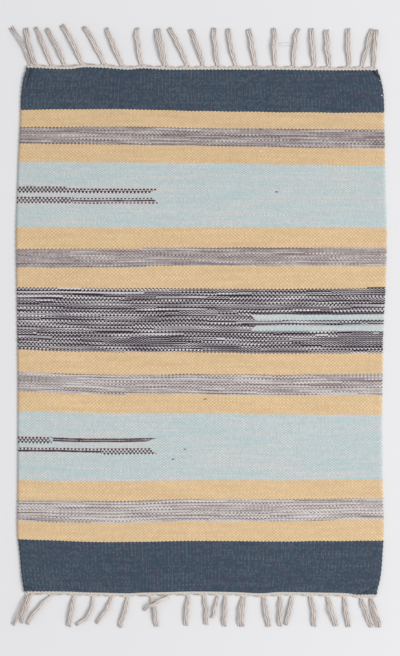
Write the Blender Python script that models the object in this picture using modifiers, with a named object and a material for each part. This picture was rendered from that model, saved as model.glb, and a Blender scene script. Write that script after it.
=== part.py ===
"""Kilim rug: a flat woven sheet with a comb of gathered warp ends along each end.

The rug lies face up on the plane z = 0, its length along Y and its width along X.
The tables are in millimetres from the middle of the woven sheet. At the end everything is
moved so that the origin is under the middle of the whole rug, fringes included.
"""
import math

import bmesh
import bpy
from mathutils import Vector
from mathutils.geometry import interpolate_bezier

MM = 0.001

# Driving sizes, in millimetres.
CLOTH_THICKNESS = 4.0        # thick cotton wefts beaten over cotton warps
CLOTH_EDGE_ROUND = 1.2       # the selvedges and ends are soft, not sharp
SEAM_GAP = 0.33              # clearance between the sheet and each comb, along the rug
HEADING_WIDTH = 6.7          # band of turned warp ends that each comb starts from
HEADING_THICKNESS = 3.4
BUNCH_ROOT_DEPTH = 5.0       # how far a bunch reaches back into its heading
BUNCH_PROFILE_WIDTH = 8.0    # a bunch of width 8 uses the profile at full size
BUNCH_THICKNESS = 4.0
EDGE_STEPS = 3               # points between two rows of an outline table
BUNCH_STEPS = 6              # straight runs along a bunch
WELD_DISTANCE = 0.01

# Half-round section of a bunch that lies on its flat: shares of its width and thickness.
BUNCH_PROFILE = [(-0.38, 0.0), (0.38, 0.0), (0.5, 0.38), (0.26, 1.0), (-0.26, 1.0), (-0.5, 0.38)]

# How thick a bunch is along its run: (share of the run, share of its full section).
BUNCH_TAPER = [(0.0, 1.15), (0.2, 0.95), (0.6, 1.0), (1.0, 0.8)]

# The two selvedges, top end first: how far along the rug, then each side's place across it.
SELVEDGE_COLUMNS = ("along", "left", "right")
SELVEDGE_ROWS = [
    (437, -293, 294),
    (423, -298, 300),
    (393, -302, 305),
    (350, -303, 306),
    (290, -306, 307),
    (235, -308, 308),
    (171, -310, 310),
    (71, -309, 308),
    (-8, -308, 304),
    (-76, -307, 303),
    (-136, -307, 302),
    (-252, -307, 303),
    (-336, -308, 305),
    (-378, -304, 303),
    (-412, -301, 300),
    (-438, -297, 294),
]

# The two ends, left to right: how far across the rug, then each end's place along it.
END_COLUMNS = ("across", "top", "bottom")
END_ROWS = [
    (-293, 440, -438),
    (-224, 438, -439),
    (-201, 441, -440),
    (-164, 440, -441),
    (-124, 437, -442),
    (-103, 439, -441),
    (-61, 437, -440),
    (-11, 437, -439),
    (56, 437, -440),
    (102, 437, -442),
    (132, 437, -440),
    (216, 436, -441),
    (253, 436, -442),
    (270, 436, -444),
    (292, 436, -443),
]

# Bunches of the top comb, left to right. root and tip are places across the rug, reach is how far
# the tip lies out from the heading, bend pulls the run sideways at the share bend_at of its length,
# width is the bunch's own, and lift is how high its middle rides over a neighbour.
BUNCH_COLUMNS = ("root", "tip", "reach", "bend", "bend_at", "width", "lift")
TOP_BUNCHES = [
    (-288, -321, 63, 12, 0.5, 8.5, 0),
    (-279, -295, 61, -3, 0.5, 9.0, 0),
    (-252, -279, 64, 3, 0.5, 7.5, 0),
    (-230, -261, 62, 6, 0.5, 8.0, 0),
    (-201, -235, 65, 6, 0.5, 8.5, 0),
    (-164, -198, 63, 6, 0.5, 8.0, 0),
    (-133, -160, 64, 0, 0.5, 8.0, 0),
    (-101, -108, 62, -3, 0.5, 7.5, 0),
    (-60, -74, 63, -1, 0.5, 11.5, 0),
    (-23, -55, 64, 4, 0.5, 8.0, 0),
    (3, -19, 62, 4, 0.5, 8.0, 0),
    (28, 21, 64, -2, 0.5, 8.0, 0),
    (58, 45, 63, -3, 0.5, 8.0, 0),
    (91, 79, 62, 2, 0.5, 8.5, 0),
    (124, 122, 64, 0, 0.5, 7.5, 0),
    (155, 163, 63, -4, 0.5, 7.5, 0),
    (190, 185, 64, 0, 0.5, 9.0, 0),
    (215, 210, 62, 0, 0.5, 9.5, 0),
    (248, 246, 64, 0, 0.5, 8.5, 0),
    (270, 287, 63, 0, 0.5, 8.5, 0),
    (289, 294, 62, 0, 0.5, 8.0, 0),
]
BOTTOM_BUNCHES = [
    (-294, -317, 51, 2, 0.5, 8.5, 0),
    (-288, -302, 48, -2, 0.5, 7.5, 0),
    (-251, -293, 50, -10, 0.5, 7.0, 0),
    (-213, -223, 52, 0, 0.5, 8.0, 0),
    (-182, -209, 48, 15, 0.8, 7.0, 0),
    (-150, -181, 50, 8, 0.5, 7.0, 0),
    (-124, -138, 51, 4, 0.5, 8.0, 0),
    (-84, -75, 51, 3, 0.5, 8.0, 0),
    (-54, -97, 26, -4, 0.5, 7.5, 4),
    (-22, -26, 51, 0, 0.5, 8.0, 0),
    (5, 8, 50, 3, 0.5, 8.0, 0),
    (28, 13, 49, 0, 0.5, 5.5, 0),
    (40, 39, 52, 0, 0.5, 7.5, 0),
    (71, 67, 51, -3, 0.5, 11.5, 0),
    (105, 113, 50, 0, 0.5, 9.0, 0),
    (132, 131, 51, 3, 0.5, 8.0, 0),
    (153, 141, 49, 2, 0.5, 7.5, 0),
    (182, 188, 51, 8, 0.5, 9.0, 0),
    (212, 227, 50, 0, 0.5, 9.0, 0),
    (240, 247, 51, 0, 0.5, 8.5, 0),
    (268, 287, 49, 0, 0.5, 10.0, 0),
    (286, 297, 50, 0, 0.5, 9.0, 0),
]

OUTWARD = {"top": 1, "bottom": -1}

FRINGE_COLOUR = (0.58, 0.50, 0.45, 1.0)
CLOTH_COLOUR = (0.38, 0.35, 0.31, 1.0)


def clear_scene():
    for obj in list(bpy.data.objects):
        bpy.data.objects.remove(obj, do_unlink=True)


def make_collection(name):
    collection = bpy.data.collections.new(name)
    bpy.context.scene.collection.children.link(collection)
    return collection


def make_material(name, colour, roughness):
    material = bpy.data.materials.new(name)
    material.use_nodes = True
    shader = material.node_tree.nodes["Principled BSDF"]
    shader.inputs["Base Color"].default_value = colour
    shader.inputs["Roughness"].default_value = roughness
    shader.inputs["Metallic"].default_value = 0.0
    return material


def table(columns, rows):
    """The rows of a table, each with its columns' names."""
    return [dict(zip(columns, row)) for row in rows]


def smooth_through(knots, steps):
    """The knots, with steps - 1 more points between each two, on one smooth curve."""
    last = len(knots) - 1
    points = []
    for i in range(last):
        before = knots[max(i - 1, 0)]
        start, end = knots[i], knots[i + 1]
        after = knots[min(i + 2, last)]
        leave = start + (end - before) / 6
        arrive = end - (after - start) / 6
        points += interpolate_bezier(start, leave, arrive, end, steps + 1)[:-1]
    return points + [knots[last]]


def end_edge(end, outward=0.0):
    """The top or bottom end of the sheet, left to right, moved away from the middle of the rug."""
    rows = table(END_COLUMNS, END_ROWS)
    knots = [Vector((row["across"], row[end] + OUTWARD[end] * outward, 0)) for row in rows]
    return smooth_through(knots, EDGE_STEPS)


def selvedge(side):
    """The left or right side of the sheet, top to bottom, between its corners."""
    rows = table(SELVEDGE_COLUMNS, SELVEDGE_ROWS)
    return smooth_through([Vector((row[side], row["along"], 0)) for row in rows], EDGE_STEPS)


def edge_height(edge, across):
    """How far along the rug an end edge lies at a place across it."""
    for start, end in zip(edge, edge[1:]):
        if across <= end.x:
            break
    share = (across - start.x) / (end.x - start.x)
    return start.lerp(end, min(max(share, 0.0), 1.0)).y


def evaluated_mesh(obj):
    """The mesh that an object shows, with its modifiers or its bevel made real."""
    bpy.context.view_layer.update()
    graph = bpy.context.evaluated_depsgraph_get()
    return bpy.data.meshes.new_from_object(obj.evaluated_get(graph))


def mesh_object(name, source, collection):
    """A closed mesh object from a curve object, which is removed."""
    mesh = evaluated_mesh(source)
    welded = bmesh.new()
    welded.from_mesh(mesh)
    bmesh.ops.remove_doubles(welded, verts=welded.verts, dist=WELD_DISTANCE * MM)
    bmesh.ops.recalc_face_normals(welded, faces=welded.faces)
    welded.to_mesh(mesh)
    welded.free()
    obj = bpy.data.objects.new(name, mesh)
    obj.matrix_world = source.matrix_world.copy()
    collection.objects.link(obj)
    bpy.data.objects.remove(source, do_unlink=True)
    return obj


def flat_piece(name, outline, thickness, collection):
    """A closed outline, filled and given its thickness, that lies on z = 0."""
    curve = bpy.data.curves.new(name, "CURVE")
    curve.dimensions = "2D"
    curve.fill_mode = "BOTH"
    curve.extrude = thickness * MM / 2
    spline = curve.splines.new("POLY")
    spline.points.add(len(outline) - 1)
    for point, place in zip(spline.points, outline):
        point.co = (place.x * MM, place.y * MM, 0, 1)
    spline.use_cyclic_u = True
    source = bpy.data.objects.new(name + "_outline", curve)
    source.location.z = thickness * MM / 2
    collection.objects.link(source)
    return mesh_object(name, source, collection)


def bunch_profile(collection):
    """The section that every bunch is swept from, at full size."""
    curve = bpy.data.curves.new("bunch_profile", "CURVE")
    curve.dimensions = "2D"
    spline = curve.splines.new("POLY")
    spline.points.add(len(BUNCH_PROFILE) - 1)
    for point, (across, up) in zip(spline.points, BUNCH_PROFILE):
        point.co = (across * BUNCH_PROFILE_WIDTH * MM, up * BUNCH_THICKNESS * MM, 0, 1)
    spline.use_cyclic_u = True
    profile = bpy.data.objects.new("bunch_profile", curve)
    collection.objects.link(profile)
    return profile


def taper_at(share):
    """Size of a bunch's section at a share of its run, as a share of its full section."""
    for (start, size), (end, next_size) in zip(BUNCH_TAPER, BUNCH_TAPER[1:]):
        if share <= end:
            break
    return size + (next_size - size) * (share - start) / (end - start)


def bunch_path(bunch, edge, outward):
    """Points in millimetres from inside the heading, straight out, round the bend and to the tip."""
    foot = Vector((bunch["root"], edge_height(edge, bunch["root"]), 0))
    tip = Vector((bunch["tip"], foot.y + outward * bunch["reach"], 0))
    pull = foot.lerp(tip, bunch["bend_at"]) + Vector((bunch["bend"], 0, 0))
    path = [foot - Vector((0, outward * BUNCH_ROOT_DEPTH, 0))]
    for i in range(BUNCH_STEPS + 1):
        share = i / BUNCH_STEPS
        point = foot.lerp(pull, share).lerp(pull.lerp(tip, share), share)
        point.z = bunch["lift"] * math.sin(math.pi * share)
        path.append(point)
    return path


def bunch_solid(name, bunch, edge, outward, profile, collection):
    """One gathered bunch of warp ends, swept along its path on the floor."""
    curve = bpy.data.curves.new(name, "CURVE")
    curve.dimensions = "3D"
    curve.twist_mode = "Z_UP"
    curve.bevel_mode = "OBJECT"
    curve.bevel_object = profile
    curve.use_fill_caps = True
    path = bunch_path(bunch, edge, outward)
    spline = curve.splines.new("POLY")
    spline.points.add(len(path) - 1)
    for i, (point, place) in enumerate(zip(spline.points, path)):
        point.co = (place.x * MM, place.y * MM, place.z * MM, 1)
        share = max(i - 1, 0) / BUNCH_STEPS
        point.radius = taper_at(share) * bunch["width"] / BUNCH_PROFILE_WIDTH
    source = bpy.data.objects.new(name + "_run", curve)
    collection.objects.link(source)
    return mesh_object(name, source, collection)


def make_cloth(collection, material):
    """The woven sheet: its outline at full thickness, with softened edges."""
    outline = end_edge("top") + selvedge("right") + end_edge("bottom")[::-1] + selvedge("left")[::-1]
    cloth = flat_piece("rug_cloth", outline, CLOTH_THICKNESS, collection)
    soften = cloth.modifiers.new("Soft edge", "BEVEL")
    soften.width = CLOTH_EDGE_ROUND * MM
    soften.segments = 2
    soften.limit_method = "ANGLE"
    soften.angle_limit = math.radians(60)
    cloth.data.materials.append(material)
    return cloth


def make_fringe(name, end, rows, collection, material):
    """The heading that follows one end of the sheet, with every bunch joined to it."""
    inner = end_edge(end, SEAM_GAP)
    outer = end_edge(end, SEAM_GAP + HEADING_WIDTH)
    fringe = flat_piece(name, inner + outer[::-1], HEADING_THICKNESS, collection)
    bunches = make_collection(name + "_bunches")
    profile = bunch_profile(bunches)
    for i, bunch in enumerate(table(BUNCH_COLUMNS, rows)):
        bunch_solid(f"{name}_bunch_{i + 1}", bunch, outer, OUTWARD[end], profile, bunches)
    bpy.data.objects.remove(profile, do_unlink=True)
    union = fringe.modifiers.new("Join bunches", "BOOLEAN")
    union.operation = "UNION"
    union.solver = "EXACT"
    union.operand_type = "COLLECTION"
    union.collection = bunches
    joined = evaluated_mesh(fringe)
    fringe.modifiers.remove(union)
    fringe.data = joined
    for bunch in list(bunches.objects):
        bpy.data.objects.remove(bunch, do_unlink=True)
    bpy.data.collections.remove(bunches)
    joined.materials.clear()
    joined.materials.append(material)
    return fringe


def centre_on_origin(pieces):
    """Move the pieces together so that the origin is under the middle of their common box."""
    bpy.context.view_layer.update()
    corners = [piece.matrix_world @ Vector(corner) for piece in pieces for corner in piece.bound_box]
    middle_x = (min(c.x for c in corners) + max(c.x for c in corners)) / 2
    middle_y = (min(c.y for c in corners) + max(c.y for c in corners)) / 2
    for piece in pieces:
        piece.location += Vector((-middle_x, -middle_y, 0))


def main():
    clear_scene()
    rug = make_collection("kilim_rug")
    fringe_cotton = make_material("fringe_cotton", FRINGE_COLOUR, 0.9)
    woven_cotton = make_material("woven_cotton", CLOTH_COLOUR, 0.92)
    cloth = make_cloth(rug, woven_cotton)
    top = make_fringe("fringe_top", "top", TOP_BUNCHES, rug, fringe_cotton)
    bottom = make_fringe("fringe_bottom", "bottom", BOTTOM_BUNCHES, rug, fringe_cotton)
    centre_on_origin([cloth, top, bottom])


main()
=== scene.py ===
# %% [markdown]
# # A kilim rug, woven in Blender
#
# The real rug is a flat weave. Thick soft wefts, the yarns that run from side to side, are beaten
# down so hard over the warps, the yarns that run end to end, that only wefts show. Every stripe is
# a run of wefts in one colour, and the warps come out again only at the two ends, as the fringe.
#
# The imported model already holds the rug's size: one sheet and two combs. This lesson loads it as a
# fixed frame, measures it, and then makes three finer pieces in the same places: the woven cloth,
# the fringe at the top and the fringe at the bottom.

# %% Load the frame
import math
import random

import bpy
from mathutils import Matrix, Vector, noise


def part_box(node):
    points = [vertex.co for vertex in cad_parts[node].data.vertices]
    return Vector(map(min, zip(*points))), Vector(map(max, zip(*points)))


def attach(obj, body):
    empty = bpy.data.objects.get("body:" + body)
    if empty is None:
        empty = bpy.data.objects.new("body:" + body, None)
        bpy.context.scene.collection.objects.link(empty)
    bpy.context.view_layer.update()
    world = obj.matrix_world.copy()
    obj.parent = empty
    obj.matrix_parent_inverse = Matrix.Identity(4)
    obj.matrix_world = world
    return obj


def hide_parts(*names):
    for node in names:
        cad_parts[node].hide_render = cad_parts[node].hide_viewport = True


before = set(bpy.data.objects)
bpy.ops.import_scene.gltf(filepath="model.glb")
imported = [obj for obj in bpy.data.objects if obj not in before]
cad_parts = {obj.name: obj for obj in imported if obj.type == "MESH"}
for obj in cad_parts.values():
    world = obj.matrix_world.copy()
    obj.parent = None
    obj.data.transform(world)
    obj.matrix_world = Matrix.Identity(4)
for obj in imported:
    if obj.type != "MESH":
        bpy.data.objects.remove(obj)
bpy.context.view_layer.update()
MM = 0.001

# %% [markdown]
# The frame's nodes give every position. The rug's own tables below are in millimetres from a point
# near the middle of the cloth, so one helper turns them into places in the frame. Nothing is typed
# in twice: if the frame moved, every piece would move with it.

# %% Places on the rug
CLOTH_LOW, CLOTH_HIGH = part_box("rug_cloth")
CLOTH_TOP = CLOTH_HIGH[2]
TABLE_ORIGIN_ALONG = 1.5     # the tables' zero lies this far above the middle of the cloth's box
ORIGIN_ACROSS = (CLOTH_LOW[0] + CLOTH_HIGH[0]) / 2
ORIGIN_ALONG = (CLOTH_LOW[1] + CLOTH_HIGH[1]) / 2 + TABLE_ORIGIN_ALONG * MM


def on_rug(across, along, height=0.0):
    """A place in the frame, in metres, from millimetres across, along and above the floor."""
    return Vector((ORIGIN_ACROSS + across * MM, ORIGIN_ALONG + along * MM, height * MM))


def smooth_between(places, values, at):
    """Reads a smooth curve through values at rising places; flat steps past both ends."""
    last = len(places) - 1
    k = max(0, min(last - 1, sum(1 for place in places[1:-1] if place <= at)))
    start, end = places[k], places[k + 1]
    span = end - start
    t = max(0.0, min(1.0, (at - start) / span))

    def slope(i):
        before, after = max(0, i - 1), min(last, i + 1)
        return (values[after] - values[before]) / (places[after] - places[before]) * span

    a = (1 + 2 * t) * (1 - t) ** 2 * values[k] + t * (1 - t) ** 2 * slope(k)
    b = t * t * (3 - 2 * t) * values[k + 1] - t * t * (1 - t) * slope(k + 1)
    return a + b


print("cloth", round((CLOTH_HIGH[0] - CLOTH_LOW[0]) / MM), "by",
      round((CLOTH_HIGH[1] - CLOTH_LOW[1]) / MM), "by", round(CLOTH_TOP / MM, 1), "mm")

# %% [markdown]
# ## The drawing of the cloth
#
# A handwoven cloth is never square. The weaver pulls some wefts tighter than others, so the sides
# swell in the middle and draw in at the ends, and each stripe runs a little uphill or downhill.
# Three short tables hold this. Two give the sides and the ends. The third gives each stripe: its
# yarn, how many wefts it holds, and where its upper edge lies at five places across the rug.
#
# The number of wefts matters as much as the width. Thin pale blue yarn packs closely and thick
# mottled yarn doesn't, so a stripe's wefts divide its own width evenly.

# %% Sides and stripes
SIDE_ROWS = [                # along the rug, left side, right side
    (437, -293, 294), (423, -298, 300), (393, -302, 305), (350, -303, 306),
    (290, -306, 307), (235, -308, 308), (171, -310, 310), (71, -309, 308),
    (-8, -308, 304), (-76, -307, 303), (-136, -307, 302), (-252, -307, 303),
    (-336, -308, 305), (-378, -304, 303), (-412, -301, 300), (-438, -297, 294),
]

END_ROWS = [                 # across the rug, top end, bottom end
    (-293, 440, -438), (-224, 438, -439), (-201, 441, -440), (-164, 440, -441),
    (-124, 437, -442), (-103, 439, -441), (-61, 437, -440), (-11, 437, -439),
    (56, 437, -440), (102, 437, -442), (132, 437, -440), (216, 436, -441),
    (253, 436, -442), (270, 436, -444), (292, 436, -443),
]

STRIPE_PLACES = (-298, -157, -16, 125, 266)
STRIPE_ROWS = [              # yarn, wefts, and its upper edge at each of those places
    ("navy", 36, ()),        # its upper edge is the cloth's own end
    ("yellow", 12, (369.5, 371.0, 368.0, 366.0, 364.5)),
    ("grey", 11, (341.0, 341.5, 339.5, 338.0, 337.0)),
    ("yellow", 12, (313.0, 311.5, 309.0, 306.5, 304.5)),
    ("blue", 55, (282.0, 281.0, 280.0, 278.0, 276.0)),
    ("yellow", 12, (173.5, 172.5, 172.5, 172.5, 171.5)),
    ("grey", 12, (138.5, 138.5, 138.5, 138.0, 138.0)),
    ("yellow", 13, (107.0, 107.5, 108.0, 108.0, 107.5)),
    ("dark", 31, (71.5, 70.0, 70.0, 69.0, 70.0)),
    ("yellow", 14, (-34.0, -37.0, -37.5, -39.5, -39.0)),
    ("grey", 13, (-70.5, -75.0, -74.0, -75.0, -73.5)),
    ("yellow", 12, (-100.0, -105.5, -108.0, -110.0, -109.5)),
    ("blue", 51, (-137.0, -140.0, -139.5, -142.0, -142.0)),
    ("yellow", 12, (-252.0, -253.5, -252.0, -252.0, -251.0)),
    ("grey", 14, (-286.0, -287.5, -284.0, -284.0, -282.5)),
    ("yellow", 14, (-321.0, -324.0, -321.5, -321.5, -318.5)),
    ("navy", 45, (-351.5, -356.0, -354.0, -355.0, -354.0)),
]

WARPS = 198                                            # one every 3.1 mm across
WEFTS = sum(wefts for _, wefts, _ in STRIPE_ROWS)      # all the way down the rug
first_weft = [sum(row[1] for row in STRIPE_ROWS[:k]) for k in range(len(STRIPE_ROWS) + 1)]
print(WARPS, "warps and", WEFTS, "wefts; stripes begin at weft", first_weft[:-1])

# %% [markdown]
# ## The woven sheet
#
# Where a weft passes over a warp it shows as a small pillow, called a float, and beside it the weft
# dives under. The next weft does the opposite, so floats lie like bricks. The sheet could be a flat
# plane with a bump texture, but then its outline, its stripe edges and a low side view would be
# smooth. A grid with one corner for each crossing of a warp and a weft is little more work: where
# warp number plus weft number is even the corner is a float's crest, and where it is odd it is the
# hollow between four floats. Each square is cut along its two hollows, so every float becomes a
# rounded diamond.
#
# The underside lies on the floor and needs far fewer corners, so it has every third one. A rim that
# stands out halfway up joins the two, and rounds the sides as the turned wefts do.
#
# Thick cloth also remembers how it was folded away. The corners curl up a little, and each keeps a
# short crease across it, a soft trough that narrows from its start to its end. A crease could be a
# dark line in the dye alone, but then the corner beside it would stay flat in a low view. So the
# table of creases is used twice, here for the trough and later for the shade at its bottom.

# %% Where each crossing lies
FLOAT_RELIEF = 0.65          # crest to hollow, in millimetres
CREST = CLOTH_TOP / MM
MEAN_SIDE = 303              # how far the sides lie from the middle on average
WANDER = 0.9                 # how far a crossing strays from its even place
CORNER_CURL = 1.6            # how far the corners stand up beyond their creases
CORNER_FROM = (250, 395)     # a corner begins to curl past these places across and along
CORNER_WIDTH = (55, 45)      # and has curled fully this far past them
SIDE_WAVE = 0.5              # how far the sides and ends wave up and down
side_along = [row[0] for row in reversed(SIDE_ROWS)]
side_left = [row[1] for row in reversed(SIDE_ROWS)]
side_right = [row[2] for row in reversed(SIDE_ROWS)]

# The stripe edges fall between two wefts, half a weft before the first of the new yarn.
edge_wefts = [0.0] + [start - 0.5 for start in first_weft[1:-1]] + [float(WEFTS)]


def end_line(end, across):
    """How far along the rug the top end, 1, or the bottom end, -1, lies at a place across it."""
    places = [row[0] for row in END_ROWS]
    return smooth_between(places, [row[1 if end > 0 else 2] for row in END_ROWS], across)


def edge_heights(warp):
    """How far along the rug each stripe edge lies, at one warp."""
    across = -MEAN_SIDE + 2 * MEAN_SIDE * warp / WARPS
    inner = [smooth_between(STRIPE_PLACES, edges, across) for _, _, edges in STRIPE_ROWS[1:]]
    return [end_line(1, across), *inner, end_line(-1, across)]


CREASES = [                  # start, end, half width and depth, in millimetres
    ((-287, 436), (-294, 410), 2.6, 1.3), ((287, 436), (302, 419), 2.8, 1.8),
    ((-300, -430), (-276, -437), 2.0, 1.0), ((272, -441), (298, -428), 2.0, 1.0),
]


def crease_taper(share):
    """How wide a crease is at a share of its length. It is widest where it starts."""
    return 1.3 - 0.8 * share


def fold_depth(place, start, end, half_width):
    """How deep in a crease a place lies, from 0 to 1."""
    line = Vector(end) - Vector(start)
    share = max(0.0, min(1.0, (place - Vector(start)).dot(line) / line.length_squared))
    off = (place - Vector(start) - line * share).length
    return math.exp(-(off / (half_width * crease_taper(share))) ** 2)


def corner_lift(across, along):
    """How far a place is lifted: the corners curl, the sides wave, and the creases dip."""
    past_side = max(0.0, abs(across) - CORNER_FROM[0])
    past_end = max(0.0, abs(along) - CORNER_FROM[1])
    corner = past_side / CORNER_WIDTH[0] * past_end / CORNER_WIDTH[1]
    wave = noise.noise(Vector((across / 90, along / 120, 3.7)))
    near_edge = max(abs(across) / 300, abs(along) / 440) ** 6
    lift = CORNER_CURL * min(1.0, corner) + SIDE_WAVE * (wave + 0.4) * near_edge
    for start, end, half_width, depth in CREASES:
        lift -= depth * fold_depth(Vector((across, along)), start, end, half_width)
    return lift


def crossing(warp, weft, heights):
    """The place of one crossing, in millimetres across and along."""
    k = max(i for i in range(len(edge_wefts) - 1) if edge_wefts[i] <= weft or i == 0)
    share = (weft - edge_wefts[k]) / (edge_wefts[k + 1] - edge_wefts[k])
    along = heights[k] + (heights[k + 1] - heights[k]) * share
    left = smooth_between(side_along, side_left, along)
    right = smooth_between(side_along, side_right, along)
    across = left + (right - left) * warp / WARPS
    inside = min(1.0, 6 * warp / WARPS, 6 * (1 - warp / WARPS))
    across += WANDER * inside * noise.noise(Vector((across / 70, along / 160, 0.3)))
    stray = WANDER * noise.noise(Vector((across / 55, along / 25, 8.1)))
    along += stray * min(1.0, weft / 6, (WEFTS - weft) / 6)
    return across, along


grid = {}
for warp in range(WARPS + 1):
    heights = edge_heights(warp)
    for weft in range(WEFTS + 1):
        grid[warp, weft] = crossing(warp, weft, heights)
print(len(grid), "crossings placed")

# %% [markdown]
# Now the mesh itself: the upper corners, the rim, the lower corners, and the faces between them.
# Each corner also keeps its warp and weft number as a UV map called weave. The dyes use that map
# to know which float they are on, so a pattern follows every bend of the wefts.

# %% Build the sheet
UNDERSIDE_STEP = 3           # the underside keeps every third crossing
RIM_OUT = 0.9                # how far the rim stands out past the last crossing, in millimetres
RIM_HEIGHT = 1.9
UNDERSIDE_IN = 1.1           # and how far the underside's edge stays back from it
EDGE_DROP = 0.9              # how much lower than a crest the last crossings lie
TURN_OUT = (0.45, -0.15)     # the wefts turn at the sides in pairs, so two stand out and two don't
END_TOOTH = 1.0              # the end wefts' floats stand out by this much, and their hollows in
JITTER = 0.1                 # no two floats are quite as high
EDGE_LIFT = 0.8              # the share of a corner's lift that the rim and the underside take

corners = []
weave = []
upper = {}
rim = {}
lower = {}


def add_corner(across, along, height, warp, weft):
    corners.append(on_rug(across, along, height))
    weave.append((warp, weft))
    return len(corners) - 1


def outward(warp, weft):
    """Which way is out of the cloth at a crossing on its edge."""
    side = (warp == WARPS) - (warp == 0)
    end = (weft == 0) - (weft == WEFTS)
    return side, end


rng = random.Random(11)
for (warp, weft), (across, along) in grid.items():
    side, end = outward(warp, weft)
    height = CREST - FLOAT_RELIEF * ((warp + weft) % 2) - JITTER * rng.random()
    if side or end:
        height = CREST - EDGE_DROP
        across += side * TURN_OUT[weft % 4 // 2]
        along += end * (END_TOOTH if (warp + weft) % 2 == 0 else -END_TOOTH)
    lift = corner_lift(across, along)
    edge_lift = EDGE_LIFT * max(0.0, lift) if side or end else 0.0
    upper[warp, weft] = add_corner(across, along, height + lift, warp, weft)
    if side or end:
        rim[warp, weft] = add_corner(across + side * RIM_OUT, along + end * RIM_OUT,
                                     RIM_HEIGHT + edge_lift, warp, weft)
    if warp % UNDERSIDE_STEP == 0 and weft % UNDERSIDE_STEP == 0:
        lower[warp, weft] = add_corner(across - side * UNDERSIDE_IN, along - end * UNDERSIDE_IN,
                                       edge_lift, warp, weft)

faces = []
for warp in range(WARPS):
    for weft in range(WEFTS):
        a, b = upper[warp, weft], upper[warp, weft + 1]
        c, d = upper[warp + 1, weft + 1], upper[warp + 1, weft]
        if (warp + weft) % 2 == 0:
            faces += [(a, b, d), (b, c, d)]
        else:
            faces += [(a, b, c), (a, c, d)]
step = UNDERSIDE_STEP
for warp in range(0, WARPS, step):
    for weft in range(0, WEFTS, step):
        faces.append((lower[warp, weft], lower[warp + step, weft],
                      lower[warp + step, weft + step], lower[warp, weft + step]))

# Round the edge: down the left side, along the bottom, up the right side, back along the top.
around = [(0, weft) for weft in range(WEFTS)]
around += [(warp, WEFTS) for warp in range(WARPS)]
around += [(WARPS, weft) for weft in range(WEFTS, 0, -1)]
around += [(warp, 0) for warp in range(WARPS, 0, -1)]
for i, here in enumerate(around):
    there = around[(i + 1) % len(around)]
    faces.append((upper[here], rim[here], rim[there], upper[there]))
for i in range(0, len(around), step):
    r0, r1, r2, r3 = (around[(i + n) % len(around)] for n in range(4))
    faces += [(rim[r0], lower[r0], rim[r1]), (rim[r1], lower[r0], lower[r3], rim[r2]),
              (rim[r2], lower[r3], rim[r3])]


def mesh_piece(name, corners, faces, maps):
    """A piece from its corners and faces, with UV maps that hold each corner's own numbers."""
    mesh = bpy.data.meshes.new(name)
    mesh.from_pydata(corners, [], faces)
    for map_name, numbers in maps.items():
        layer = mesh.uv_layers.new(name=map_name)
        flat = []
        for loop in mesh.loops:
            flat += numbers[loop.vertex_index]
        layer.data.foreach_set("uv", flat)
    mesh.polygons.foreach_set("use_smooth", [True] * len(mesh.polygons))
    mesh.update()
    piece = bpy.data.objects.new(name, mesh)
    bpy.context.scene.collection.objects.link(piece)
    return piece


cloth = mesh_piece("woven_cloth", corners, faces, {"weave": weave})
print("woven cloth:", len(corners), "corners,", sum(len(face) - 2 for face in faces), "triangles")

# %% [markdown]
# ## A way to write dyes
#
# A dye is a node tree, and node trees are hard to read as lists of links. So one small class wraps
# a socket: adding or multiplying two wrapped sockets makes the Math node and gives back its output,
# and the arithmetic below then reads as arithmetic. A second class makes the material, and has one
# method for every other kind of node.

# %% Sockets that add and multiply
class Signal:
    """One output socket of a dye. Arithmetic on signals adds Math nodes to the dye."""

    def __init__(self, dye, socket):
        self.dye = dye
        self.socket = socket

    def math(self, operation, other=0.0, third=0.0):
        return self.dye.node("ShaderNodeMath", {"operation": operation}, [self, other, third])

    def __add__(self, other):
        return self.math("ADD", other)

    def __sub__(self, other):
        return self.math("SUBTRACT", other)

    def __rsub__(self, other):
        return self.math("MULTIPLY_ADD", -1.0, other)

    def __mul__(self, other):
        return self.math("MULTIPLY", other)

    def __truediv__(self, other):
        return self.math("DIVIDE", other)

    def __gt__(self, other):
        return self.math("GREATER_THAN", other)

    def __lt__(self, other):
        return self.math("LESS_THAN", other)

    def __abs__(self):
        return self.math("ABSOLUTE")

    __radd__ = __add__
    __rmul__ = __mul__

    def nearest(self):
        return self.math("ROUND")

    def swing(self):
        """1 at whole even numbers and -1 at whole odd numbers, and smooth between."""
        return (self * math.pi).math("COSINE")

    def part(self):
        """What is left above the whole number below, from 0 to 1."""
        return self.math("FRACT")

    def upto(self, most):
        return self.math("MINIMUM", most)

    def atleast(self, least):
        return self.math("MAXIMUM", least)

    def rise(self, low, high):
        """0 below low, 1 above high, and straight between."""
        return ((self - low) / (high - low)).atleast(0.0).upto(1.0)

    def between(self, low, high):
        return (self > low) * (self < high)


COTTON_FINISH = {"Roughness": 0.9, "Specular IOR Level": 0.15,
                 "Sheen Weight": 0.15, "Sheen Roughness": 0.5}


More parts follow.
